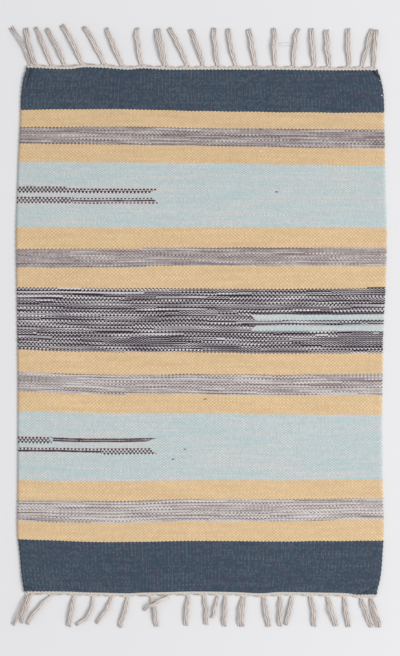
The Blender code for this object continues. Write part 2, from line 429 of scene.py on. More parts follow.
class Dye:
    """A material whose nodes are written as expressions."""

    def __init__(self, name):
        self.material = bpy.data.materials.new(name)
        self.material.use_nodes = True
        self.tree = self.material.node_tree
        self.shader = self.tree.nodes["Principled BSDF"]

    def feed(self, socket, value):
        if isinstance(value, Signal):
            self.tree.links.new(value.socket, socket)
        else:
            socket.default_value = value

    def node(self, kind, settings=None, values=(), output=0):
        """Adds a node: its settings first, then the value or link of each socket."""
        new = self.tree.nodes.new(kind)
        for name, value in (settings or {}).items():
            setattr(new, name, value)
        pairs = values.items() if isinstance(values, dict) else enumerate(values)
        for key, value in pairs:
            self.feed(new.inputs[key], value)
        return Signal(self, new.outputs[output])

    def blend(self, amount, first, second, how="MIX"):
        """A colour that goes from first to second as amount goes from 0 to 1."""
        settings = {"data_type": "RGBA", "blend_type": how}
        return self.node("ShaderNodeMix", settings, {0: amount, 6: first, 7: second}, output=2)

    def place(self, x, y, z=0.0):
        return self.node("ShaderNodeCombineXYZ", {}, [x, y, z])

    def drift(self, x, y, detail=0.0):
        """Slow change over x and y, centred on 0 and mostly within half of one."""
        settings = {"noise_dimensions": "2D"}
        values = {"Vector": self.place(x, y), "Scale": 1.0, "Detail": detail, "Roughness": 0.6}
        return self.node("ShaderNodeTexNoise", settings, values) - 0.5

    def chance(self, x, y):
        """An unrelated number from 0 to 1 for each x and y."""
        settings = {"noise_dimensions": "2D"}
        return self.node("ShaderNodeTexWhiteNoise", settings, {"Vector": self.place(x, y)})

    def grid(self, name=None):
        """The x, y and z of the UV map of this name, or else of the object's own coordinates."""
        if name:
            source = self.node("ShaderNodeUVMap", {"uv_map": name})
        else:
            source = self.node("ShaderNodeTexCoord", {}, (), output="Object")
        split = self.node("ShaderNodeSeparateXYZ", {}, [source]).socket.node
        return [Signal(self, socket) for socket in split.outputs]

    def finish(self, colour, height, relief):
        """Feeds the shader: colour, bump height, the bump's depth in metres, and cotton's finish."""
        bump = self.node("ShaderNodeBump", {}, {"Strength": 1.0, "Distance": relief, "Height": height})
        self.feed(self.shader.inputs["Base Color"], colour)
        self.feed(self.shader.inputs["Normal"], bump)
        for name, value in COTTON_FINISH.items():
            self.shader.inputs[name].default_value = value
        return self.material


def shade(red, green, blue):
    """A colour from a dyer's card, 0 to 255, turned to the linear values a shader takes."""
    def linear(part):
        part /= 255
        return part / 12.92 if part <= 0.04045 else ((part + 0.055) / 1.055) ** 2.4
    return (linear(red), linear(green), linear(blue), 1.0)


print("a dye's middle grey is", round(shade(128, 128, 128)[0], 3), "in linear light")

# %% [markdown]
# ## The yarns
#
# Navy, yellow and pale blue are dyed in one bath each, so they only drift a little from weft to
# weft. The grey and the dark stripes are mottled: each weft is a loose bundle of dark and pale
# strands laid side by side. Such a bundle turns over at each side of the rug, and it also turns
# slowly along its length. Where two passes lie the same way up their strands make dots, where they
# are mirrored they make straight lines, and where the strands slant they make zigzags. A few slow
# noises, read once for each weft, are therefore enough to draw all three. The pale blue has been
# washed with them, so it holds a few faint pink strands that are drawn the same way.

# %% Yarn colours
YARN = {
    "navy": shade(60, 74, 89),
    "navy_faded": shade(86, 98, 110),
    "navy_mauve": shade(73, 74, 88),
    "yellow": shade(226, 196, 155),
    "yellow_deep": shade(207, 178, 138),
    "blue": shade(183, 202, 204),
    "blue_pink": shade(214, 206, 204),
    "grey": shade(168, 158, 156),
    "grey_pale": shade(213, 207, 204),
    "grey_mauve": shade(118, 101, 103),
    "dark_grey": shade(168, 161, 165),
    "dark_pale": shade(212, 207, 207),
    "dark_ink": shade(48, 41, 53),
    "finger_pale": shade(212, 197, 197),
    "plum": shade(136, 84, 144),
    "steel": shade(122, 132, 138),
    "brown": shade(120, 92, 84),
    "cream": shade(226, 218, 206),
    # painted shade, not a yarn: the dark at the bottom of the corner creases
    "crease": shade(30, 30, 38),
}
WARP_PITCH = 3.09            # millimetres from one warp to the next
FLOAT_POINT = 0.3            # 0 makes square floats, and 0.5 makes them diamonds
EDGE_STEP = 0.26             # how far floats stand out at the edge of a stripe, 0 for not at all


class Weave:
    """The floats of the sheet as signals: which float this is, and where on it."""

    def __init__(self, dye, u, v):
        # Floats lie on even warps at even wefts, and on odd warps at odd wefts.
        even_warp, even_weft = (u / 2).nearest() * 2, (v / 2).nearest() * 2
        odd_warp, odd_weft = ((u - 1) / 2).nearest() * 2 + 1, ((v - 1) / 2).nearest() * 2 + 1
        half_width = 0.5 + FLOAT_POINT * (1.0 - 2.0 * abs(v - even_weft))
        self.odd = abs(u - even_warp) > half_width
        self.u = u
        self.v = v
        self.warp = even_warp + self.odd * (odd_warp - even_warp)
        self.weft = even_weft + self.odd * (odd_weft - even_weft)
        self.beside = u - self.warp
        self.below = v - self.weft
        self.rim = abs(self.beside) + abs(self.below)       # 0 on the crest, 1 where floats meet
        width = (1.0 - 0.35 * abs(self.beside)).atleast(0.3)
        self.lane = (self.below / width).atleast(-1.0).upto(1.0) * 0.5 + 0.5
        self.row = v + EDGE_STEP * (self.weft - v)          # how far down, with softened steps
        self.across = (u - WARPS / 2) * WARP_PITCH          # millimetres from the middle


# %% [markdown]
# A stripe begins where the weft number passes the first weft of its row in the table. Three stripes
# begin with a part weft, which the weaver turned back before the far side, so their left part
# starts one weft later. The small step that this leaves is kept.

# %% Which stripe a float is in
PART_WEFTS = {6: -98, 7: -88, 11: -125}     # left of this place the stripe starts a weft later
MOTTLE_SHARE = {2: 0.4, 6: 0.37, 10: 0.255, 14: 0.2}     # half the dark strands' width, by stripe


def yarn_masks(weave):
    """One signal for each yarn, 1 on its own stripes, and the dark strand's width on grey ones."""
    begun = {0: 1.0, len(STRIPE_ROWS): 0.0}
    for k in range(1, len(STRIPE_ROWS)):
        row = weave.row
        if k in PART_WEFTS:
            row = row - (weave.across < PART_WEFTS[k])
        begun[k] = row > first_weft[k] - 0.5
    masks = {}
    share = 0.0
    for k, (yarn, _, _) in enumerate(STRIPE_ROWS):
        here = begun[k] - begun[k + 1]
        masks[yarn] = masks[yarn] + here if yarn in masks else here
        share = here * MOTTLE_SHARE.get(k, 0.0) + share
    return masks, share


# %% [markdown]
# The cloth's dye puts it together. Each float takes its stripe's yarn, each mottled float takes its
# strands, and then every float gets a little of its own lightness and a painted shade where it dives
# under its neighbours.

# %% The cloth's dye
def strand(lane, middle, half_width):
    """1 on a strand that lies at this share of the float's width, and 0 beside it."""
    return (half_width - abs(lane - middle)).rise(-0.07, 0.07)


def mottle(dye, weave, seed, share, lines, lean, fineness=-0.08):
    """How dark a mottled float is here, from 0 to 1, and how bright its pale strands are.

    The yarn has four strands. Where like strands lie together the pattern is coarse, as dark,
    dark, pale, pale, and where they alternate it is fine, as dark, pale, dark, pale. A share is
    half a dark strand's width, lines makes straight lines rarer, lean is how much the strands
    slant, and fineness makes the coarse pattern rarer.
    """
    kind = dye.drift(weave.across / 170 + seed + 2.0, weave.weft * 0.37)
    coarse = (kind + 0.12 * dye.chance(weave.weft, seed + 4.0)) > fineness
    flip = dye.drift(weave.across / 120 + seed, weave.weft * 0.6 + 31.0)
    flip = flip + 0.16 * dye.chance(weave.weft, seed + 6.0)
    mirrored = (flip + 0.4 * (0.5 - coarse)) > lines
    lane = weave.lane + weave.odd * mirrored * (1.0 - 2.0 * weave.lane)
    slant = dye.drift(weave.across / 150 + seed + 12.0, weave.weft * 0.8) * (1.0 - mirrored)
    # Pairs of wefts sit a little closer together, so the coarse lane is shifted on odd floats.
    lane = (lane + 0.14 * weave.odd * coarse + lean * slant * weave.beside).part()
    thick = dye.drift(weave.across / 110 + seed + 9.0, weave.weft * 7.3)
    coarse_dark = strand(lane, 0.27, share * (1.0 - 0.26 * mirrored) + 0.35 * thick)
    fine_dark = strand((lane * 2.0).part(), 0.3, share + 0.01 + 0.35 * thick)
    darkness = fine_dark + coarse * (coarse_dark - fine_dark)
    bright = dye.drift(weave.across / 60 + seed, weave.weft * 9.1).rise(-0.1, 0.15)
    return darkness, bright


cloth_dye = Dye("woven_wefts")
warp_place, weft_place, _ = cloth_dye.grid("weave")
weave = Weave(cloth_dye, warp_place, weft_place)
masks, shares = yarn_masks(weave)

weft_tone = cloth_dye.drift(weave.across / 90, weave.weft * 4.7)
rib = weave.odd - 0.5
rib_zone = cloth_dye.drift(weave.across / 120 + 5.0, weave.weft / 9)
down = weave.v / WEFTS
# painted fall-off of the light: the yellow is made deeper towards the top end, on top of its own tone
# from weft to weft
deepness_and_light_falloff = (weft_tone * 0.9 + 0.5 - 0.25 * down).atleast(0.0).upto(1.0)
plain = cloth_dye.blend(deepness_and_light_falloff, YARN["yellow"], YARN["yellow_deep"])
lightness, _ = mottle(cloth_dye, weave, 40.0, 0.17, 0.0, 1.2)
pinkness = weft_tone * 1.2 + 0.15 + 0.9 * rib * rib_zone + 0.5 * lightness
blue = cloth_dye.blend(pinkness.atleast(0.0).upto(1.0), YARN["blue"], YARN["blue_pink"])
bath = cloth_dye.drift(weave.across / 17, weave.weft / 6).rise(-0.02, 0.25)
navy = cloth_dye.blend(bath * 0.6, YARN["navy"], YARN["navy_mauve"])
speckle = cloth_dye.chance(weave.warp, weave.weft + 0.5) - 0.5
fading = weft_tone * 0.9 + 0.2 + rib * (0.25 + 1.0 * rib_zone) + 0.75 * speckle
navy = cloth_dye.blend(fading.atleast(0.0).upto(1.0), navy, YARN["navy_faded"])

lower_half = weft_place > WEFTS / 2
darkness, bright = mottle(cloth_dye, weave, 20.0, shares, -0.03 - 0.07 * lower_half, 1.1)
uneven = 0.2 * cloth_dye.chance(weave.warp, weave.weft + 0.3) + 0.15
uneven = uneven + 0.7 * cloth_dye.drift(weave.across / 150 + 40.0, weave.weft * 5.3)
paleness = bright * 0.45 + uneven + 0.3 * lower_half
grey = cloth_dye.blend(paleness.upto(1.0), YARN["grey"], YARN["grey_pale"])
mauve = darkness * (1.08 + 0.12 * lower_half - uneven - 0.2 * bright)
grey = cloth_dye.blend(mauve, grey, YARN["grey_mauve"])

DARKER_FROM = 183            # the dark stripe's last wefts are darker and finer
later = weave.weft > DARKER_FROM
fineness = 0.1 * later - 0.04
darkness, bright = mottle(cloth_dye, weave, 0.0, 0.3 + 0.045 * later, 0.03, 0.6, fineness)
pale = cloth_dye.blend(bright, YARN["dark_grey"], YARN["dark_pale"])
dark = cloth_dye.blend(darkness, pale, YARN["dark_ink"])

colour = cloth_dye.blend(masks["blue"], plain, blue)
colour = cloth_dye.blend(masks["navy"], colour, navy)
colour = cloth_dye.blend(masks["grey"], colour, grey)
colour = cloth_dye.blend(masks["dark"], colour, dark)

# %% [markdown]
# ## Fingers, streaks and flecks
#
# In the pale blue stripes the weaver slipped in a few wefts of the dark yarn from the left side and
# turned them back before the middle, so they end in points like fingers. In the dark stripe two
# pale blue fingers come in from the right. The dark yarn is nearly twice as thick as the blue, so
# the dark fingers count their own thicker wefts. Each is written as one letter for each weft: u is
# a dark strand along its upper half, l along its lower half, b both, m in the middle, w a wide one
# below the middle, and p none.
# An l above a u makes a straight dark line, and any letter alone makes a row of dots. Two numbers
# then give half the strands' width near the side and near the tip.

# %% Fingers
# The upper and the lower dark fingers each count thick wefts from a thin weft: that weft, how many
# thick ones fit in one thin one, and the number it starts from. The numbers stay far apart.
THICK_WEFTS = ((93.3, 0.573, 0), (251.2, 0.64, 140))
# First thick weft, letters near the side, letters near the tip, where they change, where the first
# and the last weft end, and half the strands' width in both parts.
DARK_FINGERS = [
    (-1, "lllp", "pmwp", -226, -68, -89, (0.33, 0.27)),
    (4, "lllp", "lluu", -214, -82, -72, (0.31, 0.19)),
    (140, "lll", "lbu", -250, -74, -92, (0.31, 0.2)),
    (145, "llu", "lll", -166, -84, -76, (0.25, 0.28)),
]
LETTER_STRANDS = {"u": ((0.25, 1.0),), "l": ((0.75, 1.0),), "b": ((0.25, 1.0), (0.75, 1.0)),
                  "m": ((0.5, 0.9),), "w": ((0.74, 1.7),), "p": ()}
# First and last thin weft, and where each of the two ends.
PALE_FINGERS = [(175.1, 177.6, 85, 94), (180.1, 182.7, 94, 85)]


def add_up(signals):
    total = signals[0]
    for signal in signals[1:]:
        total = total + signal
    return total


upper_place, lower_place = ((weft_place - zero) * fit + number for zero, fit, number in THICK_WEFTS)
thick = Weave(cloth_dye, warp_place, upper_place + lower_half * (lower_place - upper_place))
lumps = cloth_dye.drift(thick.across / 14, thick.weft * 6.1)

darks, fingers = [], []
for first, by_side, by_tip, change, first_end, last_end, widths in DARK_FINGERS:
    near = thick.across < change
    slant = (last_end - first_end) / (len(by_side) - 1)
    inside = thick.across < (thick.row - first) * slant + first_end
    fingers.append(thick.row.between(first - 0.5, first + len(by_side) - 0.5) * inside)
    for k in range(len(by_side)):
        here = thick.weft.between(first + k - 0.5, first + k + 0.5) * inside
        for plan, part, width in ((by_side, near, widths[0]), (by_tip, 1.0 - near, widths[1])):
            for middle, share in LETTER_STRANDS[plan[k]]:
                half_width = width * share * (1.0 + 0.7 * lumps)
                darks.append(here * part * strand(thick.lane, middle, half_width))
colour = cloth_dye.blend(add_up(fingers) * 0.6, colour, YARN["finger_pale"])
colour = cloth_dye.blend(add_up(darks).upto(1.0) * 0.95, colour, YARN["dark_ink"])

tips = []
for first, last, first_end, last_end in PALE_FINGERS:
    slant = (last_end - first_end) / (last - first)
    edge = (weave.row - first) * slant + first_end
    tips.append(weave.row.between(first, last) * (weave.across > edge))
colour = cloth_dye.blend(add_up(tips), colour, blue)
print(len(darks), "dark strands in", len(fingers), "dark fingers, and", len(tips), "pale fingers")

# %% [markdown]
# A few single yarns stand out by their own colour. A straight streak is one strand that lies on top
# for a while, and a fleck is a bit of another yarn spun or caught in. Each streak is a row with its
# place down the rug in wefts, and each fleck is a small oval at its place in millimetres. Last, the
# bottom of each crease is shaded, where little light comes in.

# %% Streaks and flecks
STREAKS = [                  # row, half height in wefts, start, end, yarn
    (164.6, 0.34, -312, -95, "dark_pale"),
    (165.2, 0.22, -312, -170, "dark_ink"),
    (162.2, 0.35, 276, 312, "dark_ink"),
    (174.4, 0.3, 84, 312, "dark_ink"),
    (179.3, 0.27, 70, 268, "dark_ink"),
    (178.6, 0.2, 60, 230, "dark_pale"),
    (183.9, 0.28, 290, 300, "dark_pale"),
    (217.6, 0.3, 166, 222, "grey_pale"),
    (219.6, 0.3, 200, 266, "grey_pale"),
]
FLECKS = [                   # across, along, half width, half height, yarn
    (126, 232, 3.2, 1.5, "plum"),
    (-48, -217, 2.2, 1.6, "brown"),
    (-28, -200, 2.4, 1.2, "grey_mauve"),
    (100, 300, 3.2, 1.4, "cream"),
    (6, -116, 3.0, 1.2, "brown"),
    (-134, 384, 1.4, 1.4, "dark_ink"),
    (-78, 424, 0.9, 0.8, "steel"),
    (-72, 424, 0.9, 0.8, "steel"),
    (-77, 430, 0.9, 0.8, "steel"),
    (-285, 395, 0.9, 0.8, "steel"),
    (-279, 395, 0.9, 0.8, "steel"),
    (-273, 395, 0.9, 0.8, "steel"),
    (182, 372, 14.0, 0.8, "navy_faded"),
    (257, 413, 6.0, 0.8, "navy_faded"),
    (-21, 20, 3.0, 1.2, "blue"),
    (99, 337, 3.6, 1.4, "brown"),
    (-252, -184, 3.2, 3.4, "blue"),
    (-302, 29.5, 3.4, 1.0, "dark_pale"),
    (301, 419, 2.2, 0.9, "cream"),
    (303, 394, 1.6, 0.8, "cream"),
]
for row, half_height, start, end, yarn in STREAKS:
    here = (abs(weave.v - row) < half_height) * weave.across.between(start, end)
    colour = cloth_dye.blend(here * 0.85, colour, YARN[yarn])

x, y, _ = cloth_dye.grid()
for across, along, half_width, half_height, yarn in FLECKS:
    place = on_rug(across, along)
    sideways = (x - place.x) / (half_width * MM)
    lengthways = (y - place.y) / (half_height * MM)
    here = (sideways * sideways + lengthways * lengthways) < 1.0
    colour = cloth_dye.blend(here * 0.8, colour, YARN[yarn])

# painted shade at the bottom of each crease, darkest where the crease is deepest
for start, end, half_width, depth in CREASES:
    foot, head = on_rug(*start), on_rug(*end)
    length = (head - foot).length
    ahead = (head - foot).normalized()
    run = (x - foot.x) * ahead.x + (y - foot.y) * ahead.y
    off = (x - foot.x) * ahead.y - (y - foot.y) * ahead.x
    past = abs(run - length / 2) - length / 2
    taper = crease_taper((run / length).atleast(0.0).upto(1.0))
    beside = abs(off).atleast(past) / (taper * half_width * MM)
    colour = cloth_dye.blend((1.0 - beside.rise(0.2, 0.9)) * 0.45 * depth, colour, YARN["crease"])
print(len(STREAKS), "streaks,", len(FLECKS), "flecks and", len(CREASES), "creases")

# %% [markdown]
# What is left is the cloth's own light and shade. A float is lighter on its crest than in the hollow
# beside it, and since the weaver's beat is uneven, the crests line up now along one diagonal and now
# along the other, and fade in and out. On the navy the warps show through as fine upright ribs. Each
# weft also has its ply, a slanting dark line between two strands. All of these could be left to the
# mesh and the lamp, but from straight above soft light hardly shows them, so they are multiplied
# into the colour. The bump adds only what is finer than the mesh: the strands and a few fibres.

# %% Finish the cloth's dye
STRAND_RELIEF = 0.25 * MM    # how deep the bump goes between two strands
mottled = masks["grey"] + masks["dark"]
# painted light on each float's crest and painted shade in its hollow, multiplied into the colour
crest_shading = weave.u.swing() * weave.v.swing()            # 1 on a crest and -1 in a hollow
tilt = 3.2 * cloth_dye.drift(weave.across / 34 + 9.0, weave.v / 7 + 2.0)
crest_shading = crest_shading + tilt * (weave.u - 0.5).swing() * (weave.v - 0.5).swing()
crest_shading = crest_shading * (1.0 + 2.0 * cloth_dye.drift(weave.across / 26 + 4.0, weave.v / 5 + 8.0))
ribs = (weave.u * 2.0).swing()                       # 1 on every warp and -1 between warps
# painted fall-off of the light: a little lighter towards the bottom end; the chance term is each
# float's own random tone
painted_light_and_tone = 0.92 + 0.05 * (down * 2.0).upto(1.0) + 0.1 * cloth_dye.chance(weave.warp, weave.weft)
painted_light_and_tone = painted_light_and_tone + crest_shading * (0.09 - 0.075 * mottled) + ribs * masks["navy"] * 0.15
# painted shade where the floats meet and dive under each other
hollow_shade = 1.0 - 0.14 * weave.rim.rise(0.6, 1.0)
leaning = 1.0 - 2.0 * (cloth_dye.drift(weave.across / 80 + 3.0, weave.weft / 8 + 7.0) > 0.0)
ply = abs((weave.lane * 2.0 + leaning * weave.beside).part() - 0.5) - 0.25
painted_light_and_tone = painted_light_and_tone + 0.3 * ply
colour = cloth_dye.blend(1.0, colour, painted_light_and_tone * hollow_shade, how="MULTIPLY")

fibres = cloth_dye.drift(x / 0.0011, y / 0.0006, detail=2.0)
strands = abs((weave.lane * 4.0).part() - 0.5)
height = 0.5 * fibres - strands * 0.6
cloth.data.materials.append(cloth_dye.finish(colour, height, STRAND_RELIEF))
print("woven_wefts has", len(cloth_dye.tree.nodes), "nodes")

# %% [markdown]
# ## The fringe
#
# The fringe is the warp itself. Past the last weft every warp is free, so the weaver closes the
# cloth with two picks of plain cotton and a twisted cord, and then gathers about nine warps at a
# time into a bunch. A warp that is far from its bunch first runs along the cord.
#
# One tube for each warp would do, and so would a few broad strips with a bump. The tubes are chosen
# because the bunches are what throws a shadow here: their grooves, their crossings and their uneven
# tips have to be real. Two tables give each bunch's root and tip across the rug, how far it
# reaches, how far it bends to the side and where, its width, and how high it rides over a neighbour.

# %% Bunches
# Each bunch: root, tip, reach, bend, bend at, width, lift.
TOP_BUNCHES = [
    (-288, -321, 63, 12, 0.5, 8.5, 0), (-279, -295, 61, -3, 0.5, 9.0, 0),
    (-252, -279, 64, 3, 0.5, 7.5, 0), (-230, -261, 62, 6, 0.5, 8.0, 0),
    (-201, -235, 65, 6, 0.5, 8.5, 0), (-164, -198, 63, 6, 0.5, 8.0, 0),
    (-133, -160, 64, 0, 0.5, 8.0, 0), (-101, -108, 62, -3, 0.5, 7.5, 0),
    (-60, -74, 63, -1, 0.5, 11.5, 0), (-23, -55, 64, 4, 0.5, 8.0, 0),
    (3, -19, 62, 4, 0.5, 8.0, 0), (28, 21, 64, -2, 0.5, 8.0, 0),
    (58, 45, 63, -3, 0.5, 8.0, 0), (91, 79, 62, 2, 0.5, 8.5, 0),
    (124, 122, 64, 0, 0.5, 7.5, 0), (155, 163, 63, -4, 0.5, 7.5, 0),
    (190, 185, 64, 0, 0.5, 9.0, 0), (215, 210, 62, 0, 0.5, 9.5, 0),
    (248, 246, 64, 0, 0.5, 8.5, 0), (270, 287, 63, 0, 0.5, 8.5, 0),
    (289, 294, 62, 0, 0.5, 8.0, 0),
]
BOTTOM_BUNCHES = [
    (-294, -317, 51, 2, 0.5, 8.5, 0), (-288, -302, 48, -2, 0.5, 7.5, 0),
    (-251, -292, 49, -10, 0.5, 5.5, 0), (-213, -223, 52, 0, 0.5, 7.5, 0),
    (-182, -211, 47, 25, 0.8, 6.0, 0), (-150, -177, 44, 7, 0.5, 6.5, 0),
    (-124, -138, 51, 4, 0.5, 7.5, 0), (-84, -75, 51, 3, 0.5, 7.5, 0),
    (-53, -97, 24, -5, 0.5, 5.5, 5), (-22, -26, 51, 0, 0.5, 7.5, 0),
    (5, 8, 50, 3, 0.5, 7.5, 0), (28, 17, 38, 2, 0.5, 5.5, 0),
    (40, 39, 52, 0, 0.5, 7.5, 0), (71, 67, 51, -3, 0.5, 11.5, 0),
    (105, 113, 50, 0, 0.5, 9.0, 0), (132, 131, 51, 3, 0.5, 8.0, 0),
    (153, 141, 49, 2, 0.5, 7.5, 0), (182, 188, 51, 8, 0.5, 9.0, 0),
    (212, 227, 50, 0, 0.5, 9.0, 0), (240, 247, 51, 0, 0.5, 8.5, 0),
    (268, 287, 49, 0, 0.5, 10.0, 0), (284, 298, 50, 0, 0.5, 10.5, 0),
]
YARN_RADIUS = 0.66           # millimetres
CORD_WIDTH = 2.9             # a bunch has one cord for about each 2.9 mm of its width
TWIST_LENGTH = 48.0          # a cord turns once in this many millimetres
CORD_PLACE = 3.2             # the heading's twisted cord lies this far out from the last weft
HEADING_WIDTH = 7.0          # and the bunches begin this far out
FRINGE_SIDE = 300            # how far to each side of the middle the warps are shared out
EVENNESS = 0.4               # 0 sends every warp to its nearest bunch, 1 makes the bunches equal
BUNCH_WANDER = 2.4           # how far a bunch strays from its smooth bend


def share_out(bunches):
    """The warps of each bunch: mostly its nearest ones, but with no bunch left too thin."""
    limits = []
    for k in range(len(bunches) - 1):
        between = (bunches[k][0] + bunches[k + 1][0]) / 2
        even = -FRINGE_SIDE + 2 * FRINGE_SIDE * (k + 1) / len(bunches)
        limits.append((1 - EVENNESS) * between + EVENNESS * even)
    groups = [[] for _ in bunches]
    for warp in range(WARPS + 1):
        across = grid[warp, 0][0]
        groups[sum(across > limit for limit in limits)].append(warp)
    return groups


def bunch_middle(bunch, end, share):
    """A bunch's own middle line, and the direction across it, at a share of its length."""
    root, tip, reach, bend, bend_at, _, _ = bunch
    foot = Vector((root, end_line(end, root) + end * HEADING_WIDTH))
    head = Vector((tip, foot.y + end * reach))
    pull = foot.lerp(head, bend_at) + Vector((bend, 0))
    middle = foot.lerp(pull, share).lerp(pull.lerp(head, share), share)
    run = (pull - foot).lerp(head - pull, share).normalized()
    wander = noise.noise(Vector((root, share * 3.2, end * 4.0)))
    sideways = Vector((run.y, -run.x)) * end
    return middle + sideways * BUNCH_WANDER * wander * min(1.0, 3 * share), sideways


print("warps in each top bunch:", [len(group) for group in share_out(TOP_BUNCHES)])

# %% [markdown]
# Each warp is a list of places for the middle of a tube with five sides. It starts inside the
# cloth, turns along the heading, and then winds with two or three others into one of its bunch's
# cords. The tube's UV map, called strand, holds the yarn's number, how far across the tube a point
# is, and how far along it in millimetres. A second map, called depth, holds how high a point lies in
# its cord, so that the dye can paint shade low down, in the grooves between yarns.

# %% Warps and heading
TUBE_SIDES = 5
STRAY_RADIUS = 0.3
STRAYS = [                   # two fine loose threads beside a top bunch
    [(155, 480, 2.4), (149, 482, 1.2), (141, 482.5, 0.4), (128, 481, 0.4)],
    [(156, 476, 2.2), (148, 477.5, 1.0), (138, 477, 0.4), (130, 477.5, 0.4)],
]
PICK_NUMBER = 300            # yarn numbers from here up are the heading's picks
CORD_NUMBER = 400            # and from here up its cord
STRAY_NUMBER = WARPS + 10
PICKS = ((0.7, 1), (1.9, 0))  # how far out each pick lies, and whether it starts over or under
PICK_RADIUS = 0.8
PICK_HEIGHT = 2.3
HEADING_YARN_RADIUS = 0.9
HEADING_YARN_HEIGHT = 1.75
HEADING_TWIST = 0.55         # how far the cord's two yarns wind about their middle line
BUNCH_STEPS = 17             # places along each warp's way down its bunch
BUNCH_ARCH = 3.5             # how high a bunch rises between its root and its tip
ARCH_CHANGE = 3.0            # and how much that differs from one bunch to the next
TIP_UNEVEN = 0.035           # the warps of a bunch differ in length by up to this share
TIP_SPLAY = 0.9              # and their tips spread by this much


class Tubes:
    """Many yarns gathered into one mesh."""

    def __init__(self):
        self.corners = []
        self.faces = []
        self.strand = []
        self.depth = []

    def add(self, places, radius, number, levels=None):
        """One yarn through places, which are (across, along, height) in millimetres.

        A level says how high the yarn lies in its own cord there, from -1 to 1.
        """
        first = len(self.corners)
        points = [Vector(place) for place in places]
        run = 0.0
        for i, point in enumerate(points):
            after, before = points[min(i + 1, len(points) - 1)], points[max(i - 1, 0)]
            run += (point - before).length
            ahead = (after - before).normalized()
            sideways = Vector((ahead.y, -ahead.x, 0.0)).normalized()
            above = sideways.cross(ahead)
            wide = radius * (0.7 if i == len(points) - 1 else 1.0)
            for k in range(TUBE_SIDES):
                angle = 2 * math.pi * (k + 0.5) / TUBE_SIDES
                place = point + wide * (math.cos(angle) * sideways + math.sin(angle) * above)
                self.corners.append(on_rug(*place))
                self.strand.append((number + 0.3 * math.cos(angle), run))
                level = levels[i] if levels else 1.0
                self.depth.append((level + 0.5 * math.sin(angle), 0.0))
        for i in range(len(points) - 1):
            for k in range(TUBE_SIDES):
                a, b = first + i * TUBE_SIDES + k, first + i * TUBE_SIDES + (k + 1) % TUBE_SIDES
                self.faces.append((a, a + TUBE_SIDES, b + TUBE_SIDES, b))
        self.faces.append(tuple(range(first, first + TUBE_SIDES)))
        self.faces.append(tuple(range(len(self.corners) - TUBE_SIDES, len(self.corners)))[::-1])


def warp_run(warp, slot, size, bunch, end, rng):
    """The places and levels of one warp: out of the cloth, along the heading, down its bunch."""
    root, _, reach, _, _, width, lift = bunch
    lift += BUNCH_ARCH + ARCH_CHANGE * noise.noise(Vector((root / 7, end * 3.0, 6.0)))
    across, along = grid[warp, 0 if end > 0 else WEFTS]
    gap = root - across
    side = 1 if gap > 0 else -1
    rank = abs(gap) / WARP_PITCH
    places = [(across, along - end * 0.6, 1.7), (across, along + end * 2.2, 1.0)]
    levels = [1.0, 0.5]
    if rank > 1.2:
        out = CORD_PLACE + 1.2 + min(rank, 5.0) * 0.4
        for share in (0.2, 0.5, 0.8):
            x = across + gap * share * (1 - 0.5 / rank)
            y = end_line(end, x) + end * (out - 1.0 + share)
            places.append((x, y, 0.75 + 0.5 * rng.random()))
            levels.append(0.55 - 0.1 * rank)
    cords = max(2, round(width / CORD_WIDTH))
    cord = min(cords - 1, slot * cords // size)
    members = [k for k in range(size) if min(cords - 1, k * cords // size) == cord]
    ring = 0.75 * YARN_RADIUS / math.sin(math.pi / len(members)) if len(members) > 1 else 0.0
    angle = 2 * math.pi * members.index(slot) / max(1, len(members)) + root + cord
    start, stop = 0.02, 1.0 - TIP_UNEVEN * rng.random()
    splay = TIP_SPLAY * (rng.random() - 0.5)
    for i in range(BUNCH_STEPS):
        share = start + (stop - start) * i / (BUNCH_STEPS - 1)
        middle, sideways = bunch_middle(bunch, end, share)
        turn = angle + 2 * math.pi * share * reach / TWIST_LENGTH
        spread = (0.7 + 0.3 * min(1.0, 4 * share)) * (cord - (cords - 1) / 2) * width / cords
        spread += ring * math.cos(turn) + splay * share ** 3
        spread += 0.5 * noise.noise(Vector((root + 7.0 * cord, share * 4.0, 1.0)))
        height = YARN_RADIUS + ring * (1 + math.sin(turn)) + lift * math.sin(math.pi * share)
        place = middle + sideways * spread * end
        places.append((place.x, place.y, height))
        levels.append(ring * math.sin(turn) / (ring + YARN_RADIUS))
    return places, levels


def heading(tubes, end):
    """Two picks of plain weave and a cord of two twisted yarns, along one end of the cloth."""
    for number, (out, phase) in enumerate(PICKS):
        places = []
        for i in range(2 * WARPS + 1):
            across, _ = grid[i // 2, 0 if end > 0 else WEFTS]
            if i % 2:
                further, _ = grid[i // 2 + 1, 0 if end > 0 else WEFTS]
                across = (across + further) / 2
            over = math.cos(math.pi * (i / 2 + phase))
            along = end_line(end, across) + end * (out - 0.25 * over)
            places.append((across, along, PICK_HEIGHT + 0.5 * over))
        tubes.add(places, PICK_RADIUS, PICK_NUMBER + number)
    for number in (0, 1):
        places = []
        for i in range(2 * WARPS + 1):
            across = grid[0, 0][0] + (grid[WARPS, 0][0] - grid[0, 0][0]) * i / (2 * WARPS)
            turn = math.pi * (i / 5.0 + number) + 0.8 * noise.noise(Vector((across / 30, end, 0)))
            out = CORD_PLACE + 0.25 * noise.noise(Vector((across / 20, end, 5.0)))
            along = end_line(end, across) + end * (out + HEADING_TWIST * math.cos(turn))
            places.append((across, along, HEADING_YARN_HEIGHT + HEADING_TWIST * math.sin(turn)))
        tubes.add(places, HEADING_YARN_RADIUS, CORD_NUMBER + number)


